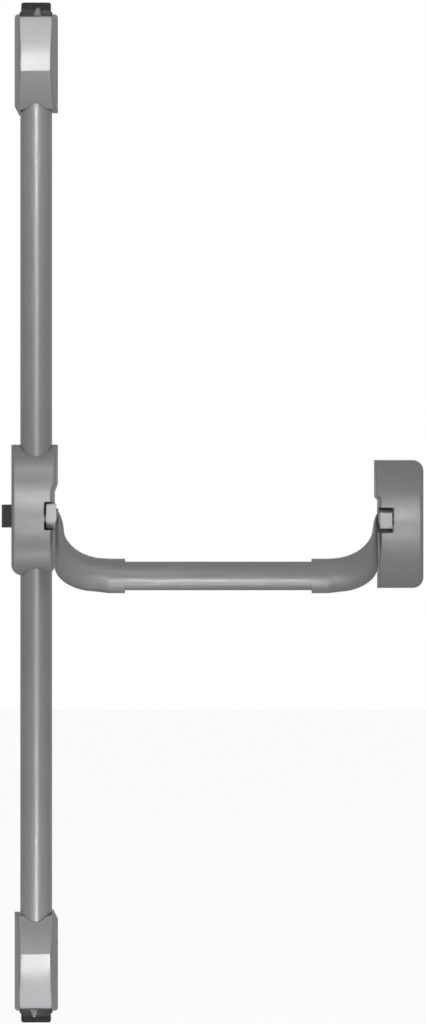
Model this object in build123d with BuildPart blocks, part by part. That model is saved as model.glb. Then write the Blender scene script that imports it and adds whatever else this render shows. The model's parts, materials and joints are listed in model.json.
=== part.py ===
"""A push-bar exit device for a fire door, bolting at three points: top, bottom and side.

Millimetres. +Z is up, +X runs along the push bar and -Y points from the door to the user.
The door's face is the plane y = 0. The origin is on it, at the middle of the active case's
four screw holes, and the two rods run along Z above and below that point.
"""

from build123d import *
from math import asin, atan2, cos, degrees, radians, sin, sqrt, tan
import os

# Sheet, walls and clearances
plate_t = 3.0
cover_wall = 2.2
play = 0.15
running = 0.05
loose = 0.35
screw_hole_r = 2.75
set_screw_r = 2.0
set_screw_y = -9.0
tab_t = 2.2
tab_depth = 14.0
tab_h = 10.0
hex_depth = 1.5
screw_proud = 1.0
past = 1.0
wall_reach = 8.0

# Active case, seen from the front
case_left = 30.0
case_right = 26.0
case_right_low = 22.4
case_half = 78.5
case_depth = 54.0
case_draft = 2.0
bow_over = 8.0
bow_end_depth = 4.2
active_bow_z = -3.0
case_corner_r = 13.0
case_edge_r = 4.0
side_step_top = 31.2
side_step_low = 21.6
active_hole_x = 30.0
active_hole_z = 100.0
active_plate_left = 26.6
active_plate_right = 19.3
active_plate_half = 59.0
active_tab_z = (40.0, -43.0)

# Idle case. Its X sizes run from the mirror image of the rods' line, towards the bar or away
idle_inner = 31.4
idle_inner_low = 27.8
idle_outer = 28.0
idle_top = 60.0
idle_bottom = -93.6
idle_bow_z = -18.0
idle_step_top = 15.6
idle_step_low = 12.0
idle_cutout_edge = 8.6
idle_cutout_over = 1.0
idle_cutout_under = 4.2
idle_hole_x = 30.0
idle_hole_z = 110.0
idle_hole_inward = 1.6
idle_hole_mid_z = -17.0
idle_plate_margin = 4.2
idle_tab_z = (28.0, -62.0)

# Pivot of the push bar, along X, and how far it swings
pivot_y = -30.0
pivot_z = -10.8
swing = 30.0
axle_r = 6.0
axle_proud = 1.0
axle_tail = 1.2
axle_chamfer = 0.8
hub_r = 12.6
hub_gap = 0.8
hub_left = 12.8
hub_right = 27.0
tab_top = 7.2
tab_width = 12.0
idle_hub_left = 10.2
idle_facet = 10.8
pad_high = 7.6
pad_low = 11.5
cutout_left = 10.4
cutout_top = 9.6
cutout_back = 13.0
key_side = 4.0
key_short = 3.0
tab_root = 2.0
facet_short = 2.0

# Arms and bar: ellipses, long along the arm and short across it
arm_drop = 46.0
active_arm_side = 23.0
idle_arm_side = 28.0
arm_inner = 34.0
arm_inner_v = 18.0
arm_outer_v = 76.0
elbow_u = 88.0
elbow_steps = 6
neck_b = 12.5
heel_v = -9.0
heel_w = 10.0
heel_b = 8.0
shoulder_over = 3.0
shoulder_w = 7.0
shoulder_b = 12.3
bar_drop = 67.5
bar_a = 20.5
bar_b = 12.0
bar_wall = 2.0
sleeve_a = 24.5
sleeve_b = 15.0
socket_depth = 30.0
sleeve_end = 107.5
socket_gap = 0.1
bar_screw_r = 2.5
bar_screw_in = 9.0
bar_mid_x = 218.3

# Pivot brackets and return springs
cheek_t = 3.0
cheek_inner = 1.5
cheek_outer = -19.0
cheek_r = 10.5
bush_r = 8.0
bush_over = 0.8
flange_t = 2.0
flange_top = 8.0
flange_low = -24.0
foot_low = -32.0
rivet_r = 1.5
rivet_edge = 4.0
rivet_outer = 6.0
return_coil_r = 8.8
return_wire_r = 0.8
return_turns = 6

# Drive train on the base plate, in layers away from the door
layer_gap = 0.5
slider_t = 4.0
pad_rise = 2.5
rocker_t = 3.0
tail_t = 3.0
finger_gap = 1.0
finger_nose_r = 4.0
finger_w = 6.0
slot_lip = 3.0
slot_side = 2.0
upper_rim = 1.7
lower_rim = 1.0
stud_clear = 2.0
pad_wall = 1.7
pad_over = 6.0
link_high = 9.0
link_low = 2.0
crank_left = 7.0
crank_t = 5.6
crank_r = 9.5
stem_half = 8.0
block_wall = 1.0
block_z = (62.0, 76.0)
rocker_z = 24.0
rocker_arm = 15.0
rocker_pin_r = 2.5
rocker_end_r = 3.8
rocker_hub_r = 6.5
rocker_stud_r = 4.0
pin_proud = 0.5
stud_head_t = 1.45
stud_head_over = 1.5
guide_z = (47.0, 50.0)
guide_wall = 2.0

# Side latch
latch_tip = 41.2
latch_root = 17.0
latch_top = 6.6
latch_low = -21.0
latch_gap = 0.4
latch_over = 0.5
latch_nose = 4.0
latch_bevel = 10.0
latch_coil_r = 4.0
latch_wire_r = 0.5
latch_turns = 4
latch_coil_at = 6.0
tail_w = 5.6
tail_root = 6.0
tail_rim = 2.0
tail_top_rim = 2.5
latch_guide_at = 6.0
latch_guide_t = 2.0
latch_guide_rim = 6.0
latch_guide_over = 4.0

# Rods and their covers: a D-section with its flat on the door
rod_r = 5.0
rod_seat = 64.0
rod_pin_r = 1.5
rod_short = 1.0
rod_chamfer = 0.6
tube_r = 19.0
tube_axis_y = -9.0
tube_wall = 1.5
tube_start = 60.5
rod_guide_h = 12.0
rod_guide_count = 3

# Terminals. Both are one part, and the bottom one is turned half a turn
top_near = 476.0
bottom_near = 482.0
terminal_length = 119.0
terminal_half_w = 26.0
terminal_draft = 9.0
terminal_corner_r = 4.5
terminal_edge_r = 2.0
ridge_at = 48.4
ridge_depth = 46.0
end_depth = 31.0
foot_depth = 22.0
slope_bulge = 1.5
toe_drop = 3.0
toe_rise = 8.4
toe_w = 1.0
terminal_hole_x = 30.0
terminal_hole_z = 20.0
terminal_hole_at = 36.0
terminal_tab_at = 36.0
tube_entry = 18.0
nib_x = 2.2
nib_w = 9.5
nib_h = 6.0
nib_tip_w = 3.0
nib_root = 4.5
nib_t = 4.0
rod_lug_at = 22.0
rod_lug_half = 9.0
rod_lug_over = 1.0
plate_start_gap = 1.0

# Top and bottom bolts
bolt_half_w = 17.8
bolt_back = 5.0
bolt_t = 14.0
bolt_proud = 13.4
bolt_length = 68.0
bolt_bevel = 9.0
bolt_land = 3.0
bolt_corner_r = 3.0
bolt_socket = 14.0
bolt_guide_wall = 1.6
bolt_guide_start = 86.0
bolt_guide_proud = 1.5
bolt_coil_r = 7.4
bolt_wire_r = 0.7
bolt_coil_turns = 8

# What follows from the values above: layers, in distances from the door
flange_front = plate_t + flange_t
latch_back = flange_front + latch_gap
latch_front = -pivot_y - cheek_r - latch_over
bolt_front = bolt_back + bolt_t
rod_y = -(bolt_back + bolt_front) / 2
slider_back = plate_t + layer_gap
slider_front = slider_back + slider_t
pad_front = slider_front + pad_rise
rocker_back = slider_front + layer_gap
rocker_front = rocker_back + rocker_t
tail_back = rocker_front + layer_gap
tail_front = tail_back + tail_t
block_front = rod_r + block_wall - rod_y

# The drive's motion
finger_reach = -pivot_y - plate_t - finger_gap - finger_nose_r
throw = 2 * finger_reach * sin(radians(swing / 2))
half_throw = throw / 2
rocker_tilt = degrees(asin(half_throw / rocker_arm))
pin_x = rocker_arm * cos(radians(rocker_tilt))
slot_at = (pin_x + rocker_arm) / 2
slot_half = (rocker_arm - pin_x) / 2 + rocker_pin_r + 2 * play
slot_w = 2 * (rocker_pin_r + play)
finger_z = pivot_z - half_throw

# The arms and the idle case
bar_v = bar_drop / sin(radians(arm_drop))
elbow_inner_v = bar_v - sleeve_a
elbow_outer_v = bar_v + sleeve_a
mirror_x = 2 * bar_mid_x
idle_left = mirror_x - idle_inner
idle_left_low = mirror_x - idle_inner_low
idle_right = mirror_x + idle_outer
bow_half = case_half + bow_over
bow_r = (bow_half**2 + (case_depth - bow_end_depth) ** 2) / (2 * (case_depth - bow_end_depth))
axle_end = hub_right + axle_proud
axle_start = cheek_outer - axle_tail
key_end = hub_right - key_short
bolt_foot = terminal_length + bolt_proud - bolt_length

along = Vector(0, -cos(radians(arm_drop)), -sin(radians(arm_drop)))
across = Vector(0, sin(radians(arm_drop)), -cos(radians(arm_drop)))
pivot = Vector(0, pivot_y, pivot_z)

os.makedirs("parts", exist_ok=True)


def save(piece, name):
    """Label a finished piece and write it under that name."""
    piece.part.label = name
    export_step(piece.part, f"parts/{name}.step")


def mirrored(piece):
    """The same piece on the other side of the middle of the push bar."""
    with BuildPart() as other:
        add(mirror(piece.part, about=Plane.YZ.offset(mirror_x / 2), mode=Mode.PRIVATE))
    return other


def turned(piece):
    """The same piece turned half a turn about Y, so that it points down."""
    with BuildPart() as other:
        add(piece.part, rotation=(0, 180, 0))
    return other


def front_plane(depth=0.0):
    """A plane facing the user, depth in front of the door, with X to the right and Y up."""
    return Plane(origin=(0, -depth, 0), x_dir=(1, 0, 0), z_dir=(0, -1, 0))


def side_plane(x=0.0):
    """A plane facing +X, with its X towards the door and its Y up."""
    return Plane(origin=(x, 0, 0), x_dir=(0, 1, 0), z_dir=(1, 0, 0))


def arm_plane(u, v, angle):
    """A plane across the arm at (u, v), where the arm heads `angle` degrees from `along` to +X."""
    heading = along * cos(radians(angle)) + Vector(1, 0, 0) * sin(radians(angle))
    return Plane(origin=pivot + Vector(u, 0, 0) + along * v, x_dir=across, z_dir=heading)


def span(x_range, y_range, z_range, mode=Mode.ADD):
    """A box between two values on each axis, in the current part."""
    lows = [min(r) for r in (x_range, y_range, z_range)]
    sizes = [max(r) - min(r) for r in (x_range, y_range, z_range)]
    with Locations(tuple(lows)):
        Box(*sizes, align=(Align.MIN, Align.MIN, Align.MIN), mode=mode)


def x_rod(x_range, y, z, radius, mode=Mode.ADD):
    """A cylinder along X, in the current part."""
    with BuildSketch(side_plane(min(x_range))) as disc:
        with Locations((y, z)):
            Circle(radius)
    extrude(disc.sketch, amount=max(x_range) - min(x_range), mode=mode)


def y_rod(x, depth_range, z, radius, mode=Mode.ADD):
    """A cylinder along Y between two depths in front of the door, in the current part."""
    with BuildSketch(front_plane(min(depth_range))) as disc:
        with Locations((x, z)):
            Circle(radius)
    extrude(disc.sketch, amount=max(depth_range) - min(depth_range), mode=mode)


def z_rod(x, y, z_range, radius, mode=Mode.ADD):
    """A cylinder along Z, in the current part."""
    with BuildSketch(Plane.XY.offset(min(z_range))) as disc:
        with Locations((x, y)):
            Circle(radius)
    extrude(disc.sketch, amount=max(z_range) - min(z_range), mode=mode)


def d_section(grow, mode=Mode.ADD):
    """The D outline of a rod cover, grown by that much on every side, in the current sketch."""
    width = tube_r + grow
    with BuildLine() as outline:
        ThreePointArc((-width, tube_axis_y), (0, tube_axis_y - width), (width, tube_axis_y))
        Polyline((width, tube_axis_y), (width, grow), (-width, grow), (-width, tube_axis_y))
    make_face(outline.edges(), mode=mode)


def coil(start, axis, length, radius, wire_r, turns):
    """One unbroken helical spring from `start` along `axis`."""
    with BuildPart() as spring:
        with BuildLine() as path:
            Helix(pitch=length / turns, height=length, radius=radius, center=start, direction=axis)
        with BuildSketch(Plane(origin=path.line @ 0, z_dir=path.line % 0)):
            Circle(wire_r)
        sweep(is_frenet=True)
    gap = length / turns - 2 * wire_r
    print(f"spring of {turns} turns, least gap {gap:.2f}")
    return spring


# Covers: a drafted outline, cut to a side profile, then hollowed the same way

def bow_face(bow_z, inset):
    """The bowed side profile of a case, in the current sketch."""
    half = bow_half - inset
    centre_y = bow_r - case_depth
    end_y = centre_y - sqrt((bow_r - inset) ** 2 - half**2)
    with BuildLine() as profile:
        ThreePointArc((end_y, bow_z - half), (inset - case_depth, bow_z), (end_y, bow_z + half))
        Polyline((end_y, bow_z + half), (past, bow_z + half), (past, bow_z - half), (end_y, bow_z - half))
    make_face(profile.edges())


def active_outline():
    """The active case seen from the front, stepped in at the right for the arm."""
    with BuildLine() as outline:
        Polyline(
            (-case_left, -case_half),
            (-case_left, case_half),
            (case_right, case_half),
            (case_right, side_step_top),
            (case_right_low, side_step_low),
            (case_right_low, -case_half),
            close=True,
        )
    make_face(outline.edges())


def idle_outline():
    """The idle case seen from the front, stepped in at the left for the arm."""
    with BuildLine() as outline:
        Polyline(
            (idle_left, idle_top),
            (idle_right, idle_top),
            (idle_right, idle_bottom),
            (idle_left_low, idle_bottom),
            (idle_left_low, idle_step_low),
            (idle_left, idle_step_top),
            close=True,
        )
    make_face(outline.edges())


def bowed_block(outline, bow_z, rounded, inset):
    """A bowed case body, smaller by `inset` all round but open to the door.

    `rounded` picks which outline corners get the large radius. The edge round the bow is rounded."""
    with BuildPart() as block:
        with BuildSketch(front_plane()) as sketch:
            outline()
            fillet(rounded(sketch), case_corner_r)
            if inset:
                offset(amount=-inset, kind=Kind.INTERSECTION)
        extrude(amount=case_depth, taper=case_draft)
        with BuildSketch(side_plane(-case_left)):
            bow_face(bow_z, inset)
        extrude(amount=idle_right + case_left, mode=Mode.INTERSECT)
        if not inset:
            bow = block.faces().filter_by(GeomType.CYLINDER).sort_by(Axis.Y)[0]
            fillet(bow.edges(), case_edge_r)
    return block


def bowed_cover(outline, bow_z, rounded):
    """The hollow shell of a bowed case."""
    outer = bowed_block(outline, bow_z, rounded, 0)
    inner = bowed_block(outline, bow_z, rounded, cover_wall)
    with BuildPart() as cover:
        add(outer.part)
        add(inner.part, mode=Mode.SUBTRACT)
    return cover


def active_cover():
    """The active case's cover with its rod, latch and arm openings."""
    shell = bowed_cover(
        active_outline,
        active_bow_z,
        lambda sketch: sketch.vertices().group_by(Axis.Y)[0],
    )
    with BuildPart() as cover:
        add(shell.part)
        for low in (tube_start - loose, -case_half - past):
            with BuildSketch(Plane.XY.offset(low)):
                d_section(loose)
            extrude(amount=case_half + past - tube_start + loose, mode=Mode.SUBTRACT)
        span(
            (-case_left - past, -case_left + wall_reach),
            (past, -latch_front - loose),
            (latch_low - loose, latch_top + loose),
            Mode.SUBTRACT,
        )
        span(
            (cutout_left, case_right + past),
            (-cutout_back, -case_depth - past),
            (pivot_z - hub_r - hub_gap, cutout_top),
            Mode.SUBTRACT,
        )
        for z in active_tab_z:
            reach = (-case_left - past, -case_left + wall_reach)
            x_rod(reach, set_screw_y, z, set_screw_r + play, Mode.SUBTRACT)
    return cover


def idle_cover():
    """The idle case's cover with its arm opening."""
    shell = bowed_cover(
        idle_outline,
        idle_bow_z,
        lambda sketch: sketch.vertices().group_by(Axis.X)[-1],
    )
    with BuildPart() as cover:
        add(shell.part)
        span(
            (idle_left - past, mirror_x - idle_cutout_edge),
            (-cutout_back, -case_depth - past),
            (pivot_z - hub_r - idle_cutout_under, pivot_z + hub_r + idle_cutout_over),
            Mode.SUBTRACT,
        )
        for z in idle_tab_z:
            reach = (idle_right - wall_reach, idle_right + past)
            x_rod(reach, set_screw_y, z, set_screw_r + play, Mode.SUBTRACT)
    return cover


# Base plates

def tab(x_inner, z, side):
    """An upturned tab for one set screw. `side` is -1 for a left wall and 1 for a right one."""
    span((x_inner, x_inner + side * tab_t), (-plate_t, -tab_depth), (z - tab_h / 2, z + tab_h / 2))
    reach = (x_inner - side * past, x_inner + side * (tab_t + past))
    x_rod(reach, set_screw_y, z, set_screw_r, Mode.SUBTRACT)


def hole_grid(x, z, dx, dz):
    """Four mounting holes through a base plate."""
    for i in (-1, 1):
        for k in (-1, 1):
            y_rod(x + i * dx / 2, (-past, plate_t + past), z + k * dz / 2, screw_hole_r, Mode.SUBTRACT)


def active_base_plate():
    with BuildPart() as plate:
        span((-active_plate_left, active_plate_right), (0, -plate_t), (-active_plate_half, active_plate_half))
        for z in active_tab_z:
            tab(active_tab_x(), z, -1)
        hole_grid(0, 0, active_hole_x, active_hole_z)
        y_rod(0, (-past, plate_t + past), rocker_z, rocker_stud_r, Mode.SUBTRACT)
    return plate


def wall_inset(depth, draft):
    """How far a cover's inner face has come in from its outline at that depth."""
    return cover_wall + depth * tan(radians(draft))


def active_tab_x():
    """The inner face of the active case's tabs, which touch the cover's left wall at their tips."""
    return -case_left + wall_inset(tab_depth, case_draft) + play + tab_t


def idle_tab_x():
    return idle_right - wall_inset(tab_depth, case_draft) - play - tab_t


def terminal_tab_x():
    return terminal_half_w - wall_inset(tab_depth, terminal_draft) - play - tab_t


def idle_base_plate():
    with BuildPart() as plate:
        span(
            (idle_left_low + wall_inset(plate_t, case_draft) + play, idle_right - idle_plate_margin),
            (0, -plate_t),
            (idle_bottom + idle_plate_margin, idle_top - idle_plate_margin),
        )
        fillet(plate.edges().filter_by(Axis.Y).group_by(Axis.X)[-1], case_corner_r)
        for z in idle_tab_z:
            tab(idle_tab_x(), z, 1)
        hole_grid(mirror_x - idle_hole_inward, idle_hole_mid_z, idle_hole_x, idle_hole_z)
    return plate


def terminal_base_plate(near):
    """A terminal's base plate, with a lug that guides the rod and seats the bolt spring."""
    with BuildPart() as plate:
        half = terminal_half_w - wall_inset(plate_t, terminal_draft) - play
        top = near + terminal_length - wall_inset(plate_t, terminal_draft) - play
        span((-half, half), (0, -plate_t), (near + tube_entry + plate_start_gap, top))
        fillet(plate.edges().filter_by(Axis.Y).group_by(Axis.Z)[-1], terminal_corner_r)
        lug = near + rod_lug_at
        lug_y = (-plate_t, -bolt_front - rod_lug_over)
        span((-rod_lug_half, rod_lug_half), lug_y, (lug, lug + plate_t))
        z_rod(0, rod_y, (lug - past, lug + plate_t + past), rod_r + running, Mode.SUBTRACT)
        for side in (-1, 1):
            tab(side * terminal_tab_x(), near + terminal_tab_at, side)
        hole_grid(0, near + terminal_hole_at, terminal_hole_x, terminal_hole_z)
    return plate


# Terminals

def ridge_face(near):
    """A terminal's side profile: a bulging slope up to a ridge, then a bow down to the end."""
    behind = cover_wall + past
    low = near - toe_drop - behind
    far = near + terminal_length
    ridge = (-ridge_depth, near + ridge_at)
    with BuildLine() as outline:
        Polyline((behind, low), (-foot_depth, low), (-foot_depth, near))
        SagittaArc((-foot_depth, near), ridge, slope_bulge)
        TangentArc(ridge, (-end_depth, far), tangent=(0, 1))
        Polyline((-end_depth, far), (behind, far), (behind, low))
    make_face(outline.edges())


def terminal_outline(near, toe):
    """A terminal seen from the front, with one corner slanting to a toe beside the rod cover."""
    half = terminal_half_w
    far = near + terminal_length
    tip_x = -tube_r - loose
    slant = (tip_x - toe_w + half) / (toe_rise + toe_drop)
    corner = (-half + slant * toe_rise, near)
    toe_points = [(tip_x - toe_w, near - toe_drop), (tip_x, near - toe_drop), (tip_x, near)]
    low_side = toe_points if toe else [corner]
    with BuildLine() as outline:
        Polyline((-half, near + toe_rise), *low_side, (half, near), (half, far), (-half, far), close=True)
    make_face(outline.edges())


def is_front_side(edge):
    """Whether an edge is one of the four long ones beside a terminal's slope and bow."""
    upright = abs(edge.tangent_at(0.5).X) < 0.5
    return upright and edge.length > ridge_depth / 2 and edge.center().Y < -end_depth


def terminal_block(near, inset):
    """A terminal's body, smaller by `inset` all round but open to the door."""
    with BuildPart() as block:
        with BuildSketch(front_plane()) as sketch:
            terminal_outline(near, toe=not inset)
            fillet(sketch.vertices().group_by(Axis.Y)[-1], terminal_corner_r)
            if inset:
                offset(amount=-inset, kind=Kind.INTERSECTION)
        extrude(amount=ridge_depth, taper=terminal_draft)
        with BuildSketch(side_plane(-terminal_half_w)):
            ridge_face(near)
            if inset:
                offset(amount=-inset, kind=Kind.INTERSECTION)
        extrude(amount=2 * terminal_half_w, mode=Mode.INTERSECT)
        if not inset:
            fillet(block.edges().filter_by(is_front_side), terminal_edge_r)
    return block


def terminal_cover(near):
    """A ridged terminal cover with its rod and bolt openings and a small nib at its end."""
    outer = terminal_block(near, 0)
    inner = terminal_block(near, cover_wall)
    far = near + terminal_length
    with BuildPart() as cover:
        add(outer.part)
        add(inner.part, mode=Mode.SUBTRACT)
        with BuildSketch(Plane.XY.offset(near - toe_drop - past)):
            d_section(loose)
        extrude(amount=tube_entry + toe_drop + past + loose, mode=Mode.SUBTRACT)
        gap_x = bolt_half_w + play + bolt_guide_wall + loose
        gap_depth = bolt_front + play + bolt_guide_wall + loose
        span((-gap_x, gap_x), (past, -gap_depth), (far - wall_reach, far + past), Mode.SUBTRACT)
        for side in (-1, 1):
            reach = (side * (terminal_half_w - wall_reach), side * (terminal_half_w + past))
            x_rod(reach, set_screw_y, near + terminal_tab_at, set_screw_r + play, Mode.SUBTRACT)
        with BuildSketch(front_plane(gap_depth)):
            with BuildLine():
                Polyline(
                    (nib_x - nib_w / 2, far - nib_root),
                    (nib_x + nib_w / 2, far - nib_root),
                    (nib_x + nib_tip_w / 2, far + nib_h),
                    (nib_x - nib_tip_w / 2, far + nib_h),
                    close=True,
                )
            make_face()
        extrude(amount=nib_t)
    return cover


def bolt_guide(near):
    """The closed guide that the bolt slides in, standing on the base plate."""
    half = bolt_half_w + play
    far = near + terminal_length
    with BuildPart() as guide:
        z_range = (near + bolt_guide_start, far + bolt_guide_proud)
        front = -bolt_front - play
        span((-half - bolt_guide_wall, half + bolt_guide_wall), (-plate_t, front - bolt_guide_wall), z_range)
        inside_z = (z_range[0] - past, z_range[1] + past)
        span((-half, half), (-bolt_back + play, front), inside_z, Mode.SUBTRACT)
    return guide


def bolt(near):
    """A top or bottom bolt, bevelled on the user's side, with a socket for its rod."""
    foot = near + bolt_foot
    tip = foot + bolt_length
    with BuildPart() as body:
        with BuildSketch(front_plane(bolt_back)) as face:
            with Locations((0, (foot + tip) / 2)):
                Rectangle(2 * bolt_half_w, bolt_length)
            fillet(face.vertices().group_by(Axis.Y)[-1], bolt_corner_r)
        extrude(amount=bolt_front - bolt_back)
        with BuildSketch(side_plane(-bolt_half_w)):
            with BuildLine():
                Polyline(
                    (-bolt_front - past, tip - bolt_bevel - past),
                    (-bolt_back - bolt_land, tip + past),
                    (-bolt_front - past, tip + past),
                    close=True,
                )
            make_face()
        extrude(amount=2 * bolt_half_w, mode=Mode.SUBTRACT)
        z_rod(0, rod_y, (foot - past, foot + bolt_socket), rod_r + running / 2, Mode.SUBTRACT)
        y_rod(0, (0, bolt_front + past), foot + bolt_socket / 2, rod_pin_r + running / 2, Mode.SUBTRACT)
    return body


def bolt_spring(near):
    """The spring round the rod that holds the bolt out."""
    start = near + rod_lug_at + plate_t + bolt_wire_r + play
    length = near + bolt_foot - bolt_wire_r - play - start
    return coil((0, rod_y, start), (0, 0, 1), length, bolt_coil_r, bolt_wire_r, bolt_coil_turns)


# Rods and rod covers

def rod(near):
    """A rod from its slider's block to its bolt's socket, cross-drilled at both ends."""
    end = near + bolt_foot + bolt_socket - rod_short
    with BuildPart() as bar:
        z_rod(0, rod_y, (rod_seat, end), rod_r)
        chamfer(bar.edges().filter_by(GeomType.CIRCLE), rod_chamfer)
        for z in (sum(block_z) / 2, near + bolt_foot + bolt_socket / 2):
            y_rod(0, (0, block_front), z, rod_pin_r + running / 2, Mode.SUBTRACT)
    return bar


def rod_pins(near):
    """The cross pins that fasten a rod to its slider and to its bolt."""
    with BuildPart() as pins:
        y_rod(0, (slider_back + play, block_front - play), sum(block_z) / 2, rod_pin_r)
        y_rod(0, (bolt_back + play, bolt_front - play), near + bolt_foot + bolt_socket / 2, rod_pin_r)
    return pins


def rod_cover(near):
    """A D-section tube from the active case into a terminal."""
    with BuildPart() as tube:
        with BuildSketch(Plane.XY.offset(tube_start)):
            d_section(0)
            d_section(-tube_wall, Mode.SUBTRACT)
        extrude(amount=near + tube_entry - tube_start)
    return tube


def rod_guides(near):
    """Plastic guides spaced along the inside of a rod cover."""
    start, end = block_z[1], near
    step = (end - start) / (rod_guide_count + 1)
    with BuildPart() as guides:
        for n in range(rod_guide_count):
            z = start + (n + 1) * step
            with BuildSketch(Plane.XY.offset(z - rod_guide_h / 2)):
                d_section(-tube_wall - running)
                with Locations((0, rod_y)):
                    Circle(rod_r + running, mode=Mode.SUBTRACT)
            extrude(amount=rod_guide_h)
    return guides


# Pivot: brackets, bushes, axles, keys and return springs

def pivot_bracket(beside_latch):
    """Two cheeks on one flange. Beside the latch, the outer cheek is hooked to leave its path open."""
    with BuildPart() as bracket:
        span(
            (cheek_outer, cheek_inner + cheek_t),
            (-plate_t, -flange_front),
            (flange_low, flange_top),
        )
        with BuildSketch(side_plane(cheek_inner)):
            cheek_face()
        extrude(amount=cheek_t)
        with BuildSketch(side_plane(cheek_outer)):
            if beside_latch:
                hooked_cheek_face()
            else:
                cheek_face()
        extrude(amount=cheek_t)
        x_rod((cheek_outer - past, cheek_inner + cheek_t + past), pivot_y, pivot_z, bush_r, Mode.SUBTRACT)
    return bracket


def cheek_face():
    """A cheek standing straight up from the base plate, in the current sketch."""
    with Locations((pivot_y / 2 - plate_t / 2, pivot_z)):
        Rectangle(-pivot_y - plate_t, 2 * cheek_r)
    with Locations((pivot_y, pivot_z)):
        Circle(cheek_r)


def hooked_cheek_face():
    """A cheek that rises beside the latch and reaches over it, in the current sketch."""
    over = -latch_front - loose
    with BuildLine() as outline:
        Polyline(
            (-plate_t, foot_low),
            (-plate_t, latch_low - loose),
            (over, latch_low - loose),
            (over, pivot_z),
            (pivot_y, pivot_z),
            (pivot_y, foot_low),
            close=True,
        )
    make_face(outline.edges())
    with Locations((pivot_y, pivot_z)):
        Circle(cheek_r)


def axle_bushes():
    """One bush in each cheek."""
    with BuildPart() as bushes:
        for left in (cheek_outer, cheek_inner):
            reach = (left - bush_over, left + cheek_t + bush_over)
            x_rod(reach, pivot_y, pivot_z, bush_r)
            bore = (reach[0] - past, reach[1] + past)
            x_rod(bore, pivot_y, pivot_z, axle_r + running, Mode.SUBTRACT)
    return bushes


def key_slot(x_range, mode):
    """The space of the drive key, on top of the axle."""
    low = pivot_z + axle_r - key_side / 2
    span(x_range, (pivot_y - key_side / 2, pivot_y + key_side / 2), (low, low + key_side), mode)


def axle(key_start):
    """An axle from its outer bush into the arm's hub, with a keyway."""
    with BuildPart() as shaft:
        x_rod((axle_start, axle_end), pivot_y, pivot_z, axle_r)
        chamfer(shaft.edges().filter_by(GeomType.CIRCLE), axle_chamfer)
        key_slot((key_start, key_end), Mode.SUBTRACT)
    return shaft


def drive_key(key_start):
    with BuildPart() as key:
        key_slot((key_start, key_end), Mode.ADD)
    return key


def return_spring():
    """The spring round the axle, between the two cheeks."""
    start = cheek_outer + cheek_t + bush_over + return_wire_r + play
    length = cheek_inner - bush_over - return_wire_r - play - start
    return coil((start, pivot_y, pivot_z), (1, 0, 0), length, return_coil_r, return_wire_r, return_turns)


# Arms and push bar

def arm_section(u, v, angle, width, depth):
    """One elliptical section of the arm: `width` in the plane of the bend, `depth` across it."""
    with BuildSketch(arm_plane(u, v, angle)) as section:
        Ellipse(depth, width / 2)
    return section.sketch


def elbow_section(turn, side):
    """The elbow's section where its inner outline has turned by that angle, from 0 to 90 degrees.

    `side` is where the neck's outer side runs, along the bar from the pivot's origin.
    The inner outline is a quarter ellipse. The outer one runs straight while the inner one turns
    through its first half, and then makes the whole of its own quarter ellipse."""
    inner = radians(turn)
    outer = radians(max(0, 2 * turn - 90))
    straight = min(1, turn / 45)
    inner_u = elbow_u - (elbow_u - arm_inner) * cos(inner)
    inner_v = arm_inner_v + (elbow_inner_v - arm_inner_v) * sin(inner)
    outer_u = elbow_u - (elbow_u - side) * cos(outer)
    outer_v = arm_inner_v + (arm_outer_v - arm_inner_v) * straight
    outer_v += (elbow_outer_v - arm_outer_v) * sin(outer)
    du, dv = outer_u - inner_u, outer_v - inner_v
    middle = ((inner_u + outer_u) / 2, (inner_v + outer_v) / 2)
    depth = neck_b + (sleeve_b - neck_b) * sin(inner)
    return arm_section(*middle, degrees(atan2(dv, -du)), sqrt(du**2 + dv**2), depth)


def arm_body(side, hub_start):
    """An arm: hub, tapered elbow and the sleeve that takes the end of the push bar."""
    sections = [
        arm_section(hub_right - heel_w / 2, heel_v, 0, heel_w, heel_b),
        arm_section(hub_right + shoulder_over - shoulder_w / 2, 0, 0, shoulder_w, shoulder_b),
    ]
    for step in range(elbow_steps + 1):
        sections.append(elbow_section(90 * step / elbow_steps, side))
    with BuildPart() as arm:
        loft(sections)
        with BuildSketch(arm_plane(elbow_u, bar_v, 90)):
            Ellipse(sleeve_b, sleeve_a)
        extrude(amount=sleeve_end - elbow_u)
        with BuildSketch(arm_plane(sleeve_end, bar_v, 90)):
            Ellipse(bar_b + socket_gap, bar_a + socket_gap)
        extrude(amount=-socket_depth, mode=Mode.SUBTRACT)
        x_rod((hub_start, hub_right), pivot_y, pivot_z, hub_r)
    return arm


def active_arm():
    body = arm_body(active_arm_side, hub_left)
    with BuildPart() as arm:
        add(body.part)
        span((hub_left, hub_left + tab_width), (pivot_y - hub_r, pivot_y - tab_root), (pivot_z, tab_top))
        x_rod((hub_left - past, axle_end), pivot_y, pivot_z, axle_r + running / 2, Mode.SUBTRACT)
        key_slot((hub_left - past, key_end), Mode.SUBTRACT)
        bar_screw_hole()
    return arm


def idle_arm():
    """The mirror of an arm with a longer hub, which has a flat pad on its front in place of the tab."""
    body = arm_body(idle_arm_side, idle_hub_left)
    start = idle_hub_left - past
    with BuildPart() as arm:
        add(body.part)
        span(
            (idle_hub_left, hub_right - facet_short),
            (pivot_y, pivot_y - idle_facet),
            (pivot_z - pad_low, pivot_z + pad_high),
        )
        span(
            (start, hub_right - facet_short),
            (pivot_y - idle_facet, pivot_y - hub_r - past),
            (pivot_z - hub_r, pivot_z + hub_r),
            Mode.SUBTRACT,
        )
        x_rod((start, axle_end), pivot_y, pivot_z, axle_r + running / 2, Mode.SUBTRACT)
        key_slot((start, key_end), Mode.SUBTRACT)
        bar_screw_hole()
    return mirrored(arm)


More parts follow.
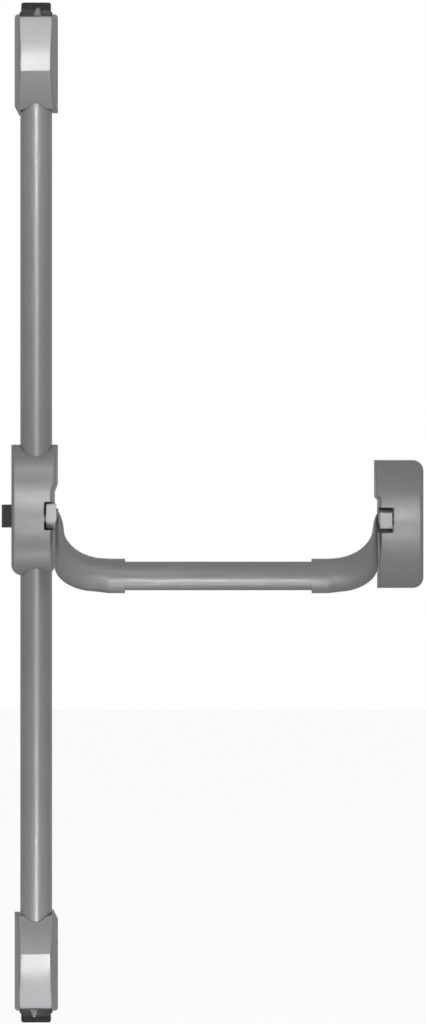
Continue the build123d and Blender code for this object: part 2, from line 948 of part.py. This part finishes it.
def bar_screw_plane():
    """A plane on the door side of the bar near a sleeve's end, facing away from the bar."""
    return Plane(origin=pivot + Vector(sleeve_end - bar_screw_in, 0, 0) + along * bar_v, z_dir=across)


def bar_screw_hole():
    """The set screw's hole through a sleeve, in the current part."""
    with BuildSketch(bar_screw_plane().offset(bar_b - bar_wall / 2)) as disc:
        Circle(bar_screw_r)
    extrude(disc.sketch, amount=sleeve_b, mode=Mode.SUBTRACT)


def bar_set_screws():
    """One set screw through each sleeve onto the bar, with a hexagon socket."""
    with BuildPart() as screw:
        with BuildSketch(bar_screw_plane().offset(bar_b + running)):
            Circle(bar_screw_r - running)
        extrude(amount=sleeve_b - bar_b - 2 * running)
        with BuildSketch(bar_screw_plane().offset(sleeve_b - running)):
            RegularPolygon(radius=bar_screw_r / 2, side_count=6)
        extrude(amount=-hex_depth, mode=Mode.SUBTRACT)
    other = mirrored(screw)
    with BuildPart() as both:
        add(screw.part)
        add(other.part)
    return both


def push_bar():
    """The oval tube between the two sleeves."""
    start = sleeve_end - socket_depth + socket_gap
    with BuildPart() as bar:
        with BuildSketch(arm_plane(start, bar_v, 90)):
            Ellipse(bar_b, bar_a)
            Ellipse(bar_b - bar_wall, bar_a - bar_wall, mode=Mode.SUBTRACT)
        extrude(amount=mirror_x - 2 * start)
    return bar


# Drive train

def crank():
    """The crank keyed to the axle, whose round-nosed finger lifts the lower slider."""
    with BuildPart() as body:
        with BuildSketch(side_plane(crank_left)):
            with Locations((pivot_y, pivot_z)):
                Circle(crank_r)
            with Locations(Location((pivot_y, pivot_z), -swing / 2)):
                Rectangle(finger_reach, finger_w, align=(Align.MIN, Align.CENTER))
            nose = swing / 2
            with Locations((pivot_y + finger_reach * cos(radians(nose)), finger_z)):
                Circle(finger_nose_r)
        extrude(amount=crank_t)
        bore = (crank_left - past, crank_left + crank_t + past)
        x_rod(bore, pivot_y, pivot_z, axle_r + running / 2, Mode.SUBTRACT)
        key_slot(bore, Mode.SUBTRACT)
    return body


def pin_slot(x, z, upright, mode=Mode.SUBTRACT):
    """The slot that one rocker pin slides in, in the current front-facing sketch."""
    with Locations((x, z)):
        SlotOverall(2 * slot_half, slot_w, rotation=90 if upright else 0, mode=mode)


def slider_block():
    """The block at a slider's end that holds its rod, in the current part."""
    span((-stem_half, stem_half), (-slider_back, -block_front), block_z)


def upper_slider():
    """The slider that pulls the top bolt down, driven by the rocker's left pin."""
    pin_z = rocker_z + half_throw
    link_edge = rocker_z + rocker_stud_r + stud_clear + throw
    edge = -slot_at - slot_half - upper_rim
    with BuildPart() as slider:
        with BuildSketch(front_plane(slider_back)):
            with BuildLine():
                Polyline(
                    (edge, pin_z - slot_w / 2 - slot_lip),
                    (edge, guide_z[0] - play),
                    (-stem_half, guide_z[0] - play),
                    (-stem_half, block_z[1]),
                    (stem_half, block_z[1]),
                    (stem_half, link_edge),
                    (-slot_at + slot_half + slot_side, link_edge),
                    (-slot_at + slot_half + slot_side, pin_z - slot_w / 2 - slot_lip),
                    close=True,
                )
            make_face()
            pin_slot(-slot_at, pin_z, upright=False)
        extrude(amount=slider_front - slider_back)
        slider_block()
        z_rod(0, rod_y, (rod_seat, block_z[1] + past), rod_r + running / 2, Mode.SUBTRACT)
        y_rod(0, (0, block_front + past), sum(block_z) / 2, rod_pin_r + running / 2, Mode.SUBTRACT)
    return slider


def lower_slider():
    """The slider that pulls the bottom bolt up, lifted by the crank and tied to the rocker's right pin."""
    pin_z = rocker_z - half_throw
    right = slot_at + slot_half + lower_rim
    left_top = slot_at - slot_half - slot_side
    left_pad = crank_left - 2 * play - pad_wall
    pad_top = finger_z + finger_nose_r + pad_over
    pad_low = finger_z - finger_nose_r - pad_over
    link_top = -guide_z[0] + link_high
    with BuildPart() as slider:
        with BuildSketch(front_plane(slider_back)):
            with BuildLine():
                Polyline(
                    (left_top, pin_z + slot_w / 2 + slot_lip),
                    (right, pin_z + slot_w / 2 + slot_lip),
                    (right, -guide_z[0] + link_low),
                    (stem_half, -guide_z[0] + link_low),
                    (stem_half, -block_z[1]),
                    (-stem_half, -block_z[1]),
                    (-stem_half, link_top),
                    (left_pad, link_top),
                    (left_pad, pad_top),
                    (left_top, pad_top),
                    close=True,
                )
            make_face()
            pin_slot(slot_at, pin_z, upright=False)
        extrude(amount=slider_front - slider_back)
        span((left_pad, right), (-slider_back, -pad_front), (pad_low, pad_top))
        span(
            (crank_left - 2 * play, crank_left + crank_t + 2 * play),
            (0, -pad_front - past),
            (finger_z - finger_nose_r - play, finger_z + finger_nose_r + play),
            Mode.SUBTRACT,
        )
        span((-stem_half, stem_half), (-slider_back, -block_front), (-block_z[0], -block_z[1]))
        z_rod(0, rod_y, (-rod_seat, -block_z[1] - past), rod_r + running / 2, Mode.SUBTRACT)
        y_rod(0, (0, block_front + past), -sum(block_z) / 2, rod_pin_r + running / 2, Mode.SUBTRACT)
    return slider


def slider_guides():
    """Two bridges on the base plate that the sliders' stems run under."""
    with BuildPart() as guides:
        for side in (-1, 1):
            z_range = (side * guide_z[0], side * guide_z[1])
            half = stem_half + play + guide_wall
            span((-half, half), (-plate_t, -slider_front - guide_wall), z_range)
            window = (side * (guide_z[0] - past), side * (guide_z[1] + past))
            span(
                (-stem_half - play, stem_half + play),
                (-plate_t - running, -slider_front - play),
                window,
                Mode.SUBTRACT,
            )
    return guides


def rocker():
    """The three-armed lever that turns the lower slider's lift into the other two pulls."""
    with BuildPart() as lever:
        with BuildSketch(front_plane(rocker_back)):
            with Locations((0, rocker_z)):
                Circle(rocker_hub_r)
            for angle in (-rocker_tilt, 180 - rocker_tilt, 270 - rocker_tilt):
                tip = (rocker_arm * cos(radians(angle)), rocker_z + rocker_arm * sin(radians(angle)))
                SlotCenterPoint(
                    center=(tip[0] / 2, (tip[1] + rocker_z) / 2),
                    point=tip,
                    height=2 * rocker_end_r,
                )
                with Locations(tip):
                    Circle(rocker_pin_r, mode=Mode.SUBTRACT)
            with Locations((0, rocker_z)):
                Circle(rocker_stud_r + running, mode=Mode.SUBTRACT)
        extrude(amount=rocker_front - rocker_back)
    return lever


def rocker_pins():
    """The rocker's three pins: two towards the door for the sliders, one outward for the latch."""
    with BuildPart() as pins:
        for side in (-1, 1):
            z = rocker_z - side * half_throw
            y_rod(side * pin_x, (slider_back + play, rocker_front), z, rocker_pin_r)
        y_rod(-half_throw, (rocker_back, tail_front + pin_proud), rocker_z - pin_x, rocker_pin_r)
    return pins


def rocker_stud():
    """The stud that the rocker turns on, riveted in the base plate, with a retaining head."""
    with BuildPart() as stud:
        head = rocker_front + play
        y_rod(0, (0, head), rocker_z, rocker_stud_r)
        y_rod(0, (head, head + stud_head_t), rocker_z, rocker_stud_r + stud_head_over)
    return stud


# Side latch

def latch_bolt():
    """The side latch, bevelled on the user's side, with a tail that the rocker pulls."""
    pin_at = rocker_z - slot_at
    tail_low = pin_at - slot_half - tail_rim
    tail_high = pin_at + slot_half + tail_top_rim
    tail_end = slot_w / 2 + slot_lip - half_throw
    rise = -latch_root - tail_w
    with BuildPart() as latch:
        span((-latch_tip, -latch_root), (-latch_back, -latch_front), (latch_low, latch_top))
        with BuildSketch(Plane.XY.offset(latch_low)):
            with BuildLine():
                Polyline(
                    (-latch_tip, -latch_back - latch_nose),
                    (-latch_tip + latch_bevel, -latch_front),
                    (-latch_tip - past, -latch_front - past),
                    (-latch_tip - past, -latch_back - latch_nose),
                    close=True,
                )
            make_face()
        extrude(amount=latch_top - latch_low, mode=Mode.SUBTRACT)
        with BuildSketch(front_plane(tail_back)):
            with BuildLine():
                Polyline(
                    (rise, latch_top - tail_root),
                    (rise, tail_high),
                    (tail_end, tail_high),
                    (tail_end, tail_low),
                    (-latch_root, tail_low),
                    (-latch_root, latch_top - tail_root),
                    close=True,
                )
            make_face()
            pin_slot(-half_throw, pin_at, upright=True)
        extrude(amount=tail_front - tail_back)
    return latch


def latch_guide():
    """The plate inside the case's wall that the latch slides through."""
    right = -latch_root - latch_guide_at
    left = right - latch_guide_t
    z_range = (latch_low - latch_guide_rim, latch_top + latch_guide_rim)
    with BuildPart() as guide:
        span((left, right), (-plate_t, -latch_front - latch_guide_over), z_range)
        span(
            (left - past, right + past),
            (-plate_t, -latch_front - play),
            (latch_low - play, latch_top + play),
            Mode.SUBTRACT,
        )
    return guide


def latch_spring():
    """The spring behind the latch, seated on the inner cheek."""
    start = -latch_root + latch_wire_r + play
    length = cheek_inner - latch_wire_r - play - start
    place = (start, rod_y, latch_low + latch_coil_at)
    return coil(place, (1, 0, 0), length, latch_coil_r, latch_wire_r, latch_turns)


# Screws and rivets

def wall_screws(placed):
    """Set screws along X through a cover's wall into a tab, with hexagon sockets."""
    with BuildPart() as screws:
        for outer, inner, z in placed:
            side = 1 if outer > inner else -1
            x_rod((outer, inner), set_screw_y, z, set_screw_r - running)
            with BuildSketch(Plane(origin=(outer, set_screw_y, z), z_dir=(-side, 0, 0))):
                RegularPolygon(radius=set_screw_r / 2, side_count=6)
            extrude(amount=hex_depth, mode=Mode.SUBTRACT)
    return screws


def bracket_rivets():
    """Four rivets through the active bracket's flange and base plate."""
    with BuildPart() as rivets:
        for x in (cheek_outer + rivet_outer, cheek_inner - rivet_edge):
            for z in (flange_low + rivet_edge, flange_top - rivet_edge):
                y_rod(x, (0, flange_front), z, rivet_r)
    return rivets


def drilled(piece, pins):
    """The piece with the holes that the pins fill."""
    with BuildPart() as result:
        add(piece.part)
        add(pins.part, mode=Mode.SUBTRACT)
    return result


# The assembly

rivets = bracket_rivets()
bracket = pivot_bracket(beside_latch=True)
save(drilled(active_base_plate(), rivets), "active_base_plate")
save(drilled(bracket, rivets), "active_pivot_bracket")
save(rivets, "bracket_rivets")
save(active_cover(), "active_cover")
save(axle_bushes(), "active_bushes")
save(return_spring(), "active_return_spring")
save(slider_guides(), "slider_guides")
save(rocker_stud(), "rocker_stud")
save(latch_guide(), "latch_guide")
save(latch_spring(), "latch_spring")

save(idle_base_plate(), "idle_base_plate")
save(mirrored(pivot_bracket(beside_latch=False)), "idle_pivot_bracket")
save(idle_cover(), "idle_cover")
save(mirrored(axle_bushes()), "idle_bushes")
save(mirrored(return_spring()), "idle_return_spring")

save(active_arm(), "active_arm")
save(idle_arm(), "idle_arm")
save(push_bar(), "push_bar")
save(axle(crank_left), "active_axle")
save(drive_key(crank_left), "active_drive_key")
save(mirrored(axle(idle_hub_left)), "idle_axle")
save(mirrored(drive_key(idle_hub_left)), "idle_drive_key")
save(bar_set_screws(), "bar_set_screws")
save(crank(), "drive_crank")

save(upper_slider(), "upper_slider")
save(lower_slider(), "lower_slider")
save(rocker(), "rocker")
save(rocker_pins(), "rocker_pins")
save(latch_bolt(), "side_latch")

for end, near, aim in (("top", top_near, lambda piece: piece), ("bottom", bottom_near, turned)):
    side = {"top": "upper", "bottom": "lower"}[end]
    save(aim(rod(near)), f"{side}_rod")
    save(aim(rod_pins(near)), f"{side}_rod_pins")
    save(aim(rod_cover(near)), f"{side}_rod_cover")
    save(aim(rod_guides(near)), f"{side}_rod_guides")
    save(aim(terminal_base_plate(near)), f"{end}_base_plate")
    save(aim(terminal_cover(near)), f"{end}_cover")
    save(aim(bolt_guide(near)), f"{end}_bolt_guide")
    save(aim(bolt(near)), f"{end}_bolt")
    save(aim(bolt_spring(near)), f"{end}_bolt_spring")
    reach = terminal_half_w - wall_inset(-set_screw_y, terminal_draft) + cover_wall - play
    inner = terminal_tab_x() - screw_proud
    screws = [(side_x * reach, side_x * inner, near + terminal_tab_at) for side_x in (-1, 1)]
    save(aim(wall_screws(screws)), f"{end}_cover_screws")

active_wall = case_left - wall_inset(-set_screw_y, case_draft) + cover_wall - play
save(
    wall_screws([(-active_wall, active_tab_x() + screw_proud, z) for z in active_tab_z]),
    "active_cover_screws",
)
idle_wall = idle_right - wall_inset(-set_screw_y, case_draft) + cover_wall - play
save(
    wall_screws([(idle_wall, idle_tab_x() - screw_proud, z) for z in idle_tab_z]),
    "idle_cover_screws",
)
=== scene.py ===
"""The looks of a push-bar exit device for a fire door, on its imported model.

Metres, in the model's own frame: +Z is up, +X runs along the push bar and -Y points from the
door to the user."""

import json
import math

import bpy
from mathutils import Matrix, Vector


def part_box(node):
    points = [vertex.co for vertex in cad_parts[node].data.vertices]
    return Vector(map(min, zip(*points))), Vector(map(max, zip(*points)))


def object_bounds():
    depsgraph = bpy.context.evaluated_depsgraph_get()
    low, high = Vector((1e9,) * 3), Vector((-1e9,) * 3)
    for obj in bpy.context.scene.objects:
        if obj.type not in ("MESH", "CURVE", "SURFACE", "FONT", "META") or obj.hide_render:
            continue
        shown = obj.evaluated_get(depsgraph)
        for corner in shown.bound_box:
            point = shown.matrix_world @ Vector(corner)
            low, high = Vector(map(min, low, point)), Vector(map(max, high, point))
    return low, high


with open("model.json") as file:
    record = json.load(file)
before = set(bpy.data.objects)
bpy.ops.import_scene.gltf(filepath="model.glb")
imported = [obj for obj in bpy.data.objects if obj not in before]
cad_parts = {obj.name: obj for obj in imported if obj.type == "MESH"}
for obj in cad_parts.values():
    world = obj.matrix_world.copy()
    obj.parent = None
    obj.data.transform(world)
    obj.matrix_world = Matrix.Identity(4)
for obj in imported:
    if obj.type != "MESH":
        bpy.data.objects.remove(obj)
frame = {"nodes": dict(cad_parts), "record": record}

cad_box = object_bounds()
nodes = frame["nodes"]
MM = 0.001

# Framing: the photograph's height and scale, the point the camera looks at, and the camera
IMAGE_HEIGHT = 1024
MM_PER_PIXEL = 1.2
VIEW_X = 0.21204
VIEW_Z = -0.0024
VIEW_DISTANCE = 9.0
SENSOR = 36.0
FAR_CLIP = 100.0

# Lamps: place, what they point at, width and height, spread in degrees, power in watts
WIDE = 180.0
BEAM = 50.0
NARROW = 24.0
LAMPS = {
    "front_high": ((0.28, -3.2, 0.74), (0.22, 0.0, 0.1), (0.22, 0.8), WIDE, 17.5),
    "front_low": ((0.28, -3.2, -0.66), (0.22, 0.0, -0.1), (0.22, 0.8), WIDE, 13.5),
    "upper": ((0.10, -2.2, 1.3), (0.10, 0.0, 0.2), (0.7, 0.5), WIDE, 3.4),
    "lower": ((0.10, -2.2, -1.3), (0.10, 0.0, -0.2), (0.7, 0.5), WIDE, 3.0),
    "on_cases": ((0.20, -2.2, 0.85), (0.20, 0.0, 0.0), (0.5, 0.3), NARROW, 0.18),
    "near_top": ((0.02, -1.6, 0.68), (0.0, 0.0, 0.5), (0.2, 0.3), BEAM, 0.31),
    "near_bottom": ((0.02, -1.6, -0.68), (0.0, 0.0, -0.5), (0.2, 0.3), BEAM, 0.31),
    "top_end": ((0.02, -0.9, 0.75), (0.0, 0.0, 0.5), (0.22, 0.16), BEAM, 0.165),
    "bottom_end": ((0.02, -0.9, -0.75), (0.0, 0.0, -0.5), (0.22, 0.16), BEAM, 0.18),
    "over_top": ((0.02, -0.55, 1.0), (0.0, 0.0, 0.57), (0.25, 0.2), WIDE, 1.2),
    "under_bottom": ((0.02, -0.55, -1.0), (0.0, 0.0, -0.57), (0.25, 0.2), WIDE, 1.2),
}

# Room and floor
WHITE = (1.0, 1.0, 1.0)
ROOM_STRENGTH = 0.08
BACKGROUND_STRENGTH = 1.0
FLOOR_GAP = 0.02
FLOOR_SIZE = 30.0
FLOOR_COLOUR = (0.82, 0.82, 0.82)
FLOOR_GLOW = 1.18
FLOOR_GLOW_SHARE = 0.8

# Painted light: the nibs get a darker colour for painted shade, the hubs' faces a lighter one for
# a painted highlight. How far they reach from the nibs' tips, to the sides of the rods' axis and from
# the active hub's end, and the distance over which they fade in
NIB_SHADE_LENGTH = 10.8 * MM
NIB_SHADE_REACH = 7.8 * MM
NIB_SHADE_BLEND = 0.4 * MM
HUB_HIGHLIGHT_WIDTH = 12.3 * MM
HUB_HIGHLIGHT_BLEND = 0.2 * MM

# Where most of a noise's values lie
NOISE_LOW = 0.3
NOISE_HIGH = 0.7


class Shader:
    """A small helper that adds nodes to one material or world and links them."""

    def __init__(self, owner, output="ShaderNodeOutputMaterial"):
        self.owner = owner
        owner.use_nodes = True
        self.tree = owner.node_tree
        self.tree.nodes.clear()
        self.output = self.add(output)

    def add(self, kind, inputs=None, **settings):
        """A node with its settings. Each input is a number, a vector, a colour or a socket."""
        node = self.tree.nodes.new(kind)
        for key, value in settings.items():
            setattr(node, key, value)
        for key, value in (inputs or {}).items():
            self.put(value, node.inputs[key])
        return node

    def put(self, value, target):
        """Links a socket to the target, or sets the target to a plain value."""
        if isinstance(value, bpy.types.NodeSocket):
            self.tree.links.new(value, target)
        elif target.type == "RGBA":
            target.default_value = (*value, 1.0)
        else:
            target.default_value = value

    def calculate(self, operation, first, second=0.0):
        """The result of one sum. Some operations only take the first value."""
        node = self.add("ShaderNodeMath", {0: first, 1: second}, operation=operation)
        return node.outputs[0]

    def position(self):
        """Object coordinates, which are metres in the model's frame."""
        return self.add("ShaderNodeTexCoord").outputs["Object"]

    def noise(self, scale, detail=2.0, stretch=(1.0, 1.0, 1.0), roughness=0.5):
        """A noise value, with `scale` cells to the metre. It is drawn out where `stretch` is small."""
        mapping = self.add("ShaderNodeMapping", {"Vector": self.position(), "Scale": stretch})
        inputs = {
            "Vector": mapping.outputs["Vector"],
            "Scale": scale,
            "Detail": detail,
            "Roughness": roughness,
        }
        return self.add("ShaderNodeTexNoise", inputs).outputs["Fac"]

    def ramp(self, value, low, high, to_low=0.0, to_high=1.0):
        """`value` from low to high, stretched to a new range and clamped."""
        inputs = {
            "Value": value,
            "From Min": low,
            "From Max": high,
            "To Min": to_low,
            "To Max": to_high,
        }
        return self.add("ShaderNodeMapRange", inputs).outputs["Result"]

    def even(self, noise, to_low=0.0, to_high=1.0):
        """The middle of a noise's range, where most of it lies, stretched to a new range."""
        return self.ramp(noise, NOISE_LOW, NOISE_HIGH, to_low, to_high)

    def mix(self, factor, first, second):
        """A colour that goes from the first to the second as the factor goes from 0 to 1."""
        node = self.add("ShaderNodeMix", {"Factor": factor}, data_type="RGBA")
        colour_inputs = [socket for socket in node.inputs if socket.type == "RGBA"]
        for colour, target in zip((first, second), colour_inputs):
            self.put(colour, target)
        return next(socket for socket in node.outputs if socket.type == "RGBA")

    def away(self, axis, middle, low, high):
        """A value from 0 to 1 as the distance from `middle` along an axis goes from low to high."""
        parts = self.add("ShaderNodeSeparateXYZ", {0: self.position()})
        offset = self.calculate("SUBTRACT", parts.outputs[axis], middle)
        return self.ramp(self.calculate("ABSOLUTE", offset), low, high)

    def inside(self, regions):
        """A value that is 1 where all the regions meet, each as `away` takes it."""
        mask = self.away(*regions[0])
        for region in regions[1:]:
            mask = self.calculate("MULTIPLY", mask, self.away(*region))
        return mask

    def bump(self, height, distance, strength, normal):
        """`normal` tilted by a height that stands for up to `distance` of relief."""
        inputs = {"Height": height, "Distance": distance, "Strength": strength, "Normal": normal}
        return self.add("ShaderNodeBump", inputs).outputs["Normal"]

    def rounded(self, radius):
        """Normals softened across an edge."""
        return self.add("ShaderNodeBevel", {"Radius": radius}, samples=4).outputs["Normal"]

    def background_rays(self):
        """A value that is 1 for rays that should find the plain background."""
        path = self.add("ShaderNodeLightPath")
        total = path.outputs["Is Camera Ray"]
        for kind in ("Is Glossy Ray", "Is Transmission Ray"):
            total = self.calculate("MAXIMUM", total, path.outputs[kind])
        return total

    def show(self, node):
        """Sends a node's first output to the surface, and gives back the material or world."""
        self.put(node.outputs[0], self.output.inputs["Surface"])
        return self.owner

    def surface(self, **values):
        """The principled shader. An underscore in a name stands for a space."""
        inputs = {key.replace("_", " "): value for key, value in values.items()}
        return self.show(self.add("ShaderNodeBsdfPrincipled", inputs))

    def blend(self, share, first, second):
        """Two shaders mixed, with the share of the second from 0 to 1."""
        inputs = {"Fac": share, 1: first.outputs[0], 2: second.outputs[0]}
        return self.show(self.add("ShaderNodeMixShader", inputs))


def shade(colour, factor):
    """A colour made darker or lighter by a factor."""
    return tuple(channel * factor for channel in colour)


def enamel(name, colour, roughness=0.45, coat=0.35, painted_light_patch=None):
    """Satin silver-grey enamel: fine flake, a faint orange peel and slight handling marks.

    The coat's index is above a real lacquer's, so that it mirrors the lamps strongly. The patch paints
    light into the colour: its regions, the factor on the colour inside them (below 1 for painted shade,
    above 1 for a painted highlight), and the coat there."""
    shader = Shader(bpy.data.materials.new(name))
    flake = shader.noise(2600.0, detail=1.0)
    cloud = shader.noise(14.0, detail=3.0)
    smear = shader.noise(55.0, detail=4.0, stretch=(1.0, 1.0, 0.35), roughness=0.6)
    peel = shader.noise(650.0)
    tone = shader.mix(shader.even(cloud), shade(colour, 0.95), shade(colour, 1.05))
    tone = shader.mix(shader.ramp(flake, 0.45, 0.75, 0.0, 0.25), tone, shade(colour, 1.35))
    # Painted light: the colour inside the patch is made darker (painted shade) or lighter (painted
    # highlight)
    if painted_light_patch:
        regions, factor, coat_there = painted_light_patch
        mask = shader.inside(regions)
        tone = shader.mix(mask, tone, shade(colour, factor))
        coat = shader.ramp(mask, 0.0, 1.0, coat, coat_there)
    return shader.surface(
        Base_Color=tone,
        Metallic=0.32,
        Roughness=shader.ramp(smear, 0.3, 0.75, roughness - 0.04, roughness + 0.07),
        Specular_IOR_Level=0.0,
        Specular_Tint=(0.5, 0.5, 0.5),
        Coat_Weight=coat,
        Coat_Roughness=0.3,
        Coat_IOR=1.9,
        Normal=shader.bump(peel, 0.02 * MM, 0.3, shader.rounded(1.2 * MM)),
    )


def steel(name, colour, grain=(1.0, 1.0, 0.04), roughness=0.35, stain=0.25):
    """Bare or plated steel, with a grain drawn out along the axis where `grain` is small."""
    shader = Shader(bpy.data.materials.new(name))
    lines = shader.noise(1500.0, detail=3.0, stretch=grain)
    cloud = shader.noise(40.0, detail=4.0)
    tone = shader.mix(shader.even(lines), shade(colour, 0.88), shade(colour, 1.1))
    tone = shader.mix(shader.ramp(cloud, 0.5, 0.8, 0.0, stain), tone, shade(colour, 0.6))
    return shader.surface(
        Base_Color=tone,
        Metallic=1.0,
        Roughness=shader.even(lines, roughness - 0.06, roughness + 0.1),
        Normal=shader.bump(lines, 0.01 * MM, 0.6, shader.rounded(0.3 * MM)),
    )


def blackened(name, colour):
    """Blackened steel with soft brighter patches, as if rubbed, and a fine grain along Z."""
    worn = (0.22, 0.21, 0.20)
    shader = Shader(bpy.data.materials.new(name))
    rubbed = shader.noise(120.0, detail=4.0, roughness=0.65)
    lines = shader.noise(900.0, stretch=(1.0, 1.0, 0.05))
    tone = shader.mix(shader.ramp(rubbed, 0.56, 0.72, 0.0, 0.3), colour, worn)
    tone = shader.mix(shader.ramp(lines, 0.4, 0.7, 0.0, 0.25), tone, shade(colour, 1.8))
    return shader.surface(
        Base_Color=tone,
        Metallic=0.5,
        Specular_IOR_Level=0.2,
        Roughness=shader.even(rubbed, 0.48, 0.6),
        Normal=shader.bump(lines, 0.015 * MM, 0.6, shader.rounded(0.5 * MM)),
    )


def brass(name, colour):
    """Brass with a fine grain along X."""
    shader = Shader(bpy.data.materials.new(name))
    lines = shader.noise(1200.0, stretch=(0.05, 1.0, 1.0))
    tone = shader.mix(shader.even(lines), shade(colour, 0.85), shade(colour, 1.1))
    return shader.surface(
        Base_Color=tone,
        Metallic=1.0,
        Roughness=shader.even(lines, 0.28, 0.4),
        Normal=shader.bump(lines, 0.01 * MM, 0.5, shader.rounded(0.25 * MM)),
    )


def nylon(name, colour):
    """Natural nylon, slightly cloudy, with a fine even roughness."""
    shader = Shader(bpy.data.materials.new(name))
    cloud = shader.noise(60.0, detail=3.0)
    grain = shader.noise(1400.0)
    tone = shader.mix(shader.even(cloud), shade(colour, 0.94), shade(colour, 1.03))
    return shader.surface(
        Base_Color=tone,
        Roughness=shader.even(grain, 0.5, 0.6),
        Normal=shader.bump(grain, 0.03 * MM, 0.4, shader.rounded(0.4 * MM)),
    )


# The nibs' painted shade mirrors about the middle height, the hubs' painted highlight about the bar's
# middle
middle_z = (cad_box[0].z + cad_box[1].z) / 2
bar_low, bar_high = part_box("push_bar")
cover_low, cover_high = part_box("top_cover")
arm_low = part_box("active_arm")[0]
bar_middle_x = (bar_low.x + bar_high.x) / 2
rods_x = (cover_low.x + cover_high.x) / 2
nib_shade_start = cover_high.z - middle_z - NIB_SHADE_LENGTH
hub_highlight_start = bar_middle_x - arm_low.x - HUB_HIGHLIGHT_WIDTH

# Regions of painted light: axis, middle, and the distances from it where the patch starts and is full
# Painted shade: the nibs' up-facing faces, which catch the upper lamps, get a darker colour and a thinner
# coat
NIB_PAINTED_SHADE = (
    ("Z", middle_z, nib_shade_start, nib_shade_start + NIB_SHADE_BLEND),
    ("X", rods_x, NIB_SHADE_REACH, NIB_SHADE_REACH - NIB_SHADE_BLEND),
)
# Painted highlight: the hubs' flat front faces get a lighter colour, standing in for a lamp's reflection
HUB_PAINTED_HIGHLIGHT = (("X", bar_middle_x, hub_highlight_start, hub_highlight_start + HUB_HIGHLIGHT_BLEND),)

CASE_GREY = (0.188, 0.188, 0.197)
ROD_GREY = (0.188, 0.188, 0.186)
ARM_GREY = (0.195, 0.195, 0.193)
BAR_GREY = (0.195, 0.195, 0.195)

MATERIALS = {
    # The case enamel has painted shade on the nibs, the arm enamel a painted highlight on the hubs
    "case_paint": enamel("case_enamel", CASE_GREY, coat=0.4, painted_light_patch=(NIB_PAINTED_SHADE, 0.5, 0.05)),
    "rod_cover_paint": enamel("rod_cover_enamel", ROD_GREY, coat=0.5),
    "arm_paint": enamel("arm_enamel", ARM_GREY, roughness=0.5, painted_light_patch=(HUB_PAINTED_HIGHLIGHT, 2.0, 0.35)),
    "bar_paint": enamel("bar_enamel", BAR_GREY),
    "plate_steel": steel("plated_steel", (0.42, 0.43, 0.44), roughness=0.42),
    "drive_steel": steel("phosphated_steel", (0.11, 0.11, 0.105), grain=(0.04, 1.0, 1.0), roughness=0.45),
    "rod_steel": steel("drawn_steel", (0.55, 0.55, 0.56), roughness=0.28, stain=0.1),
    "bolt_dark": blackened("dark_bolt_steel", (0.02, 0.02, 0.018)),
    "latch_dark": blackened("dark_latch_steel", (0.05, 0.05, 0.042)),
    "spring_steel": steel("spring_wire", (0.38, 0.38, 0.39), grain=(1.0, 1.0, 1.0), roughness=0.3),
    "bush_brass": brass("turned_brass", (0.60, 0.42, 0.20)),
    "guide_plastic": nylon("natural_nylon", (0.70, 0.70, 0.66)),
    "screw_dark": blackened("black_oxide_screw", (0.02, 0.02, 0.022)),
}

slot_of = {part["node"]: part["material_slot"] for part in frame["record"]["subparts"]}
for name, node in nodes.items():
    for slot in node.material_slots:
        slot.material = MATERIALS[slot_of[name]]


def make_room():
    """A white background, and a much weaker even light on the object."""
    world = bpy.data.worlds.new("studio")
    bpy.context.scene.world = world
    shader = Shader(world, "ShaderNodeOutputWorld")
    light, seen = (
        shader.add("ShaderNodeBackground", {"Color": WHITE, "Strength": strength})
        for strength in (ROOM_STRENGTH, BACKGROUND_STRENGTH)
    )
    shader.blend(shader.background_rays(), light, seen)


def floor_material():
    """A matt pale paint that glows for the rays that should find the background."""
    shader = Shader(bpy.data.materials.new("pale_floor"))
    matt = shader.add("ShaderNodeBsdfDiffuse", {"Color": FLOOR_COLOUR})
    glow = shader.add("ShaderNodeEmission", {"Strength": FLOOR_GLOW})
    share = shader.calculate("MULTIPLY", shader.background_rays(), FLOOR_GLOW_SHARE)
    return shader.blend(share, matt, glow)


def make_floor():
    """A plain pale floor just below the device, which takes its shadow.

    It casts none, so the lamps below it reach the device."""
    half = FLOOR_SIZE / 2
    z = cad_box[0].z - FLOOR_GAP
    corners = [(x * half, y * half, z) for x, y in ((-1, -1), (1, -1), (1, 1), (-1, 1))]
    mesh = bpy.data.meshes.new("floor")
    mesh.from_pydata(corners, [], [(0, 1, 2, 3)])
    mesh.materials.append(floor_material())
    floor = bpy.data.objects.new("floor", mesh)
    floor.visible_shadow = False
    bpy.context.scene.collection.objects.link(floor)


def aim(thing, place, target):
    """Puts a lamp or camera at a place and turns it to face the target."""
    thing.location = place
    thing.rotation_euler = (Vector(target) - Vector(place)).to_track_quat("-Z", "Y").to_euler()


def make_lamps():
    """Soft lamps, only sampled directly, as reflected rays would find the floor before the low ones."""
    for name, (place, target, size, spread, power) in LAMPS.items():
        data = bpy.data.lights.new(name, "AREA")
        data.shape = "RECTANGLE"
        data.size, data.size_y = size
        data.spread = math.radians(spread)
        data.energy = power
        data.cycles.use_multiple_importance_sampling = False
        lamp = bpy.data.objects.new(name, data)
        lamp.visible_camera = False
        bpy.context.scene.collection.objects.link(lamp)
        aim(lamp, place, target)


def make_camera():
    """Square on to the door and far back, so that depth hardly shows."""
    data = bpy.data.cameras.new("camera")
    data.sensor_width = SENSOR
    data.lens = SENSOR * VIEW_DISTANCE / (IMAGE_HEIGHT * MM_PER_PIXEL * MM)
    data.clip_end = FAR_CLIP
    camera = bpy.data.objects.new("camera", data)
    bpy.context.scene.collection.objects.link(camera)
    aim(camera, (VIEW_X, -VIEW_DISTANCE, VIEW_Z), (VIEW_X, 0.0, VIEW_Z))
    bpy.context.scene.camera = camera


make_room()
make_floor()
make_lamps()
make_camera()
bpy.context.scene.view_settings.view_transform = "Standard"
